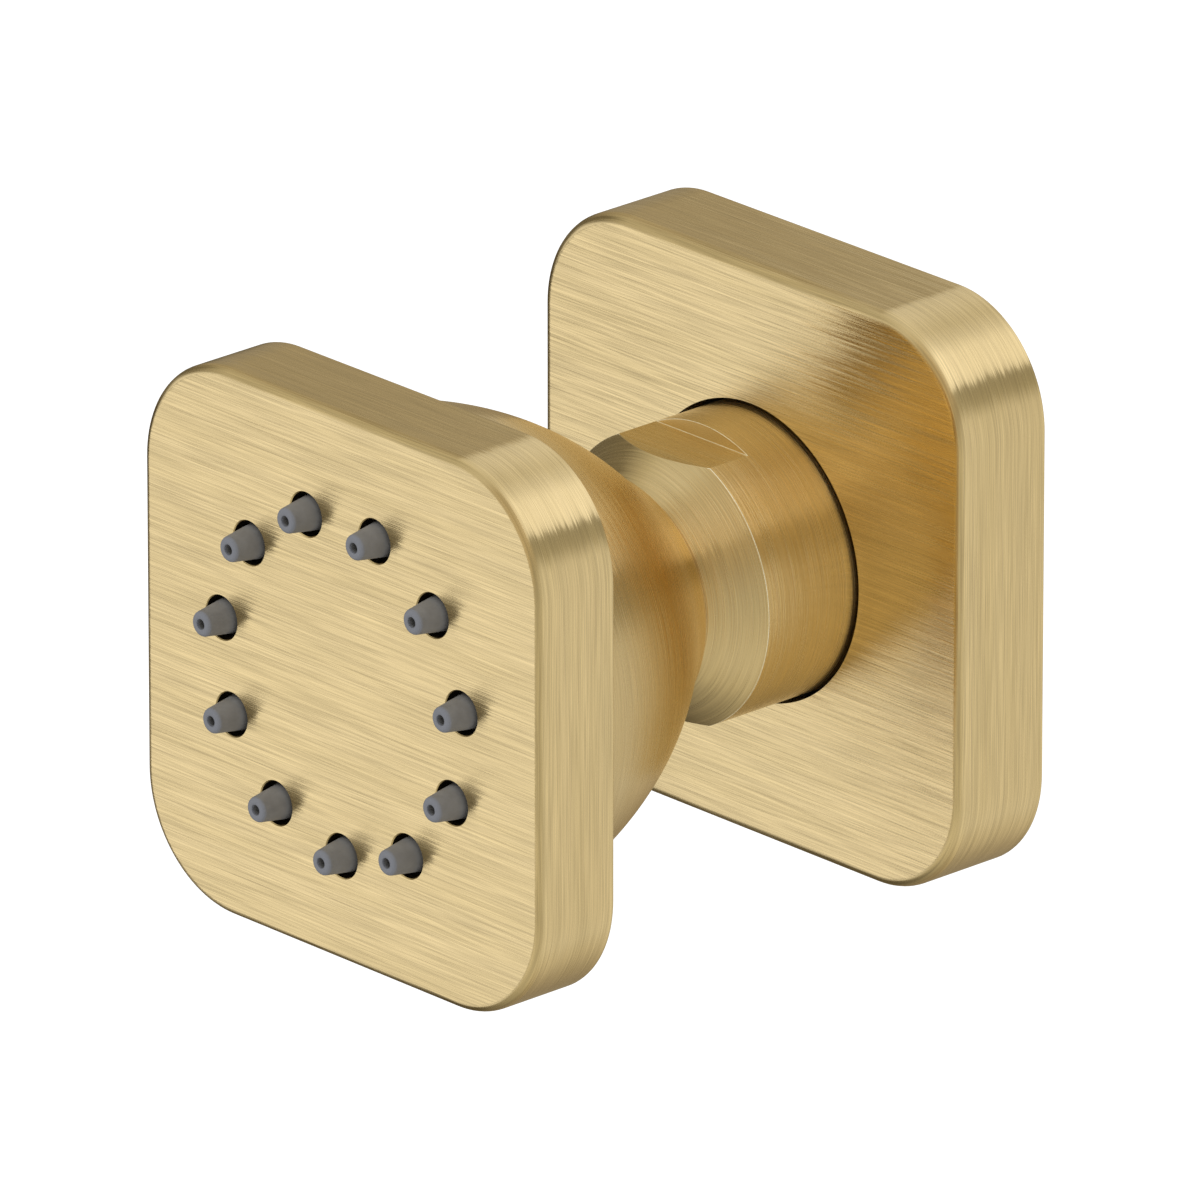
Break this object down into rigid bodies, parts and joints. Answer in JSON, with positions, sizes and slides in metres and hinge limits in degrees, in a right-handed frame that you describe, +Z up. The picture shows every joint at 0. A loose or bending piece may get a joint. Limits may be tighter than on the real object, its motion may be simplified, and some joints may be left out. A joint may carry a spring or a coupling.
{
  "type": "shower body jet",
  "caption": "Wall-mounted shower body jet: a square brushed-brass spray head with soft nozzles on a ball joint, a collar with wrench flats and a square wall flange.",
  "frame": {"origin": "on the jet axis at the wall plane, which is also the front end of the inlet's pipe thread", "axes": "+Y along the pipe thread into the wall, -Y the way the jet faces, +Z up, +X to the right seen from the front"},
  "size_m": [0.06, 0.0803, 0.06],
  "materials": {
    "brushed_brass": "straight brushed, lacquered",
    "turned_brass": "turned and brushed round, lacquered",
    "plain_brass": "machined, bare",
    "grey_silicone": "matt silicone",
    "black_rubber": "matt",
    "foam": "closed-cell foam",
    "white_plastic": "machined acetal",
    "blue_plastic": "moulded",
    "grey_plastic": "moulded",
    "steel": "stamped, plain"
  },
  "bodies": {
    "mounting": {"inlet_body": "plain_brass", "collar_nut": "turned_brass", "disc_spring": "steel", "inlet_ring": "black_rubber", "inlet_strainer": "steel"},
    "wall_cover": {"flange": "brushed_brass", "flange_grip_ring": "black_rubber", "wall_gasket": "foam"},
    "seats": {"rear_seat_ring": "white_plastic", "front_seat_ring": "white_plastic", "ball_ring": "black_rubber"},
    "ball": {"ball_stud": "plain_brass", "stud_ring": "black_rubber", "flow_regulator": "blue_plastic", "regulator_ring": "black_rubber"},
    "head": {"rear_bell": "turned_brass", "face_plate": "brushed_brass", "spray_disc": "grey_plastic", "nozzle_mat": "grey_silicone", "chamber_gasket": "black_rubber"}
  },
  "joints": [
    {"name": "flange_slide", "type": "slide", "parent": "mounting", "child": "wall_cover", "axis": [0, -1, 0], "range_m": [0, 0.009]},
    {"name": "swivel", "type": "hinge", "parent": "mounting", "child": "seats", "pos_m": [0, -0.012, 0], "axis": [0, -1, 0], "continuous": true},
    {"name": "tilt", "type": "hinge", "parent": "seats", "child": "ball", "pos_m": [0, -0.012, 0], "axis": [1, 0, 0], "range_deg": [-15, 15]},
    {"name": "head_turn", "type": "hinge", "parent": "ball", "child": "head", "pos_m": [0, -0.012, 0], "axis": [0, -1, 0], "continuous": true}
  ]
}
